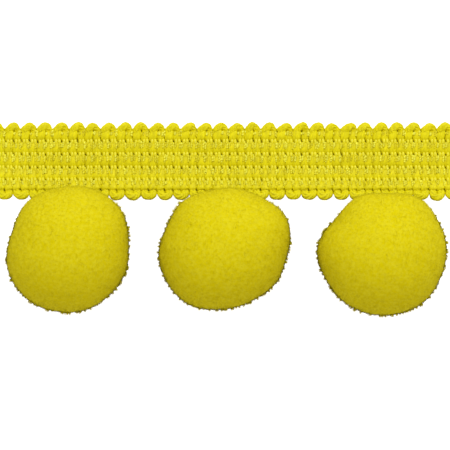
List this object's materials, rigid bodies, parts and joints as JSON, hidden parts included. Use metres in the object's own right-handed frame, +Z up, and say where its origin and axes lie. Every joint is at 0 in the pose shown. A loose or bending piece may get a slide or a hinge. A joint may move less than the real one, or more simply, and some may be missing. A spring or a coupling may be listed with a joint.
{
  "type": "pompom fringe trim",
  "caption": "Cut length of a crochet-knit fringe header with picot edges and round cut-pile pompoms hanging along its lower edge, lying face up.",
  "frame": {"origin": "on the surface the trim lies on, under the middle of its box", "axes": "+X along the header, +Y from the pompoms towards the header's free edge, +Z up, out of the trim's face"},
  "size_m": [0.093, 0.0376, 0.0238],
  "materials": {
    "header_yarn": "bulky textured yarn, soft satin",
    "pompom_pile": "dense cut pile, matt"
  },
  "bodies": {
    "root": {"header_band": "header_yarn", "pompom_left": "pompom_pile", "pompom_middle": "pompom_pile", "pompom_right": "pompom_pile"}
  },
  "joints": []
}
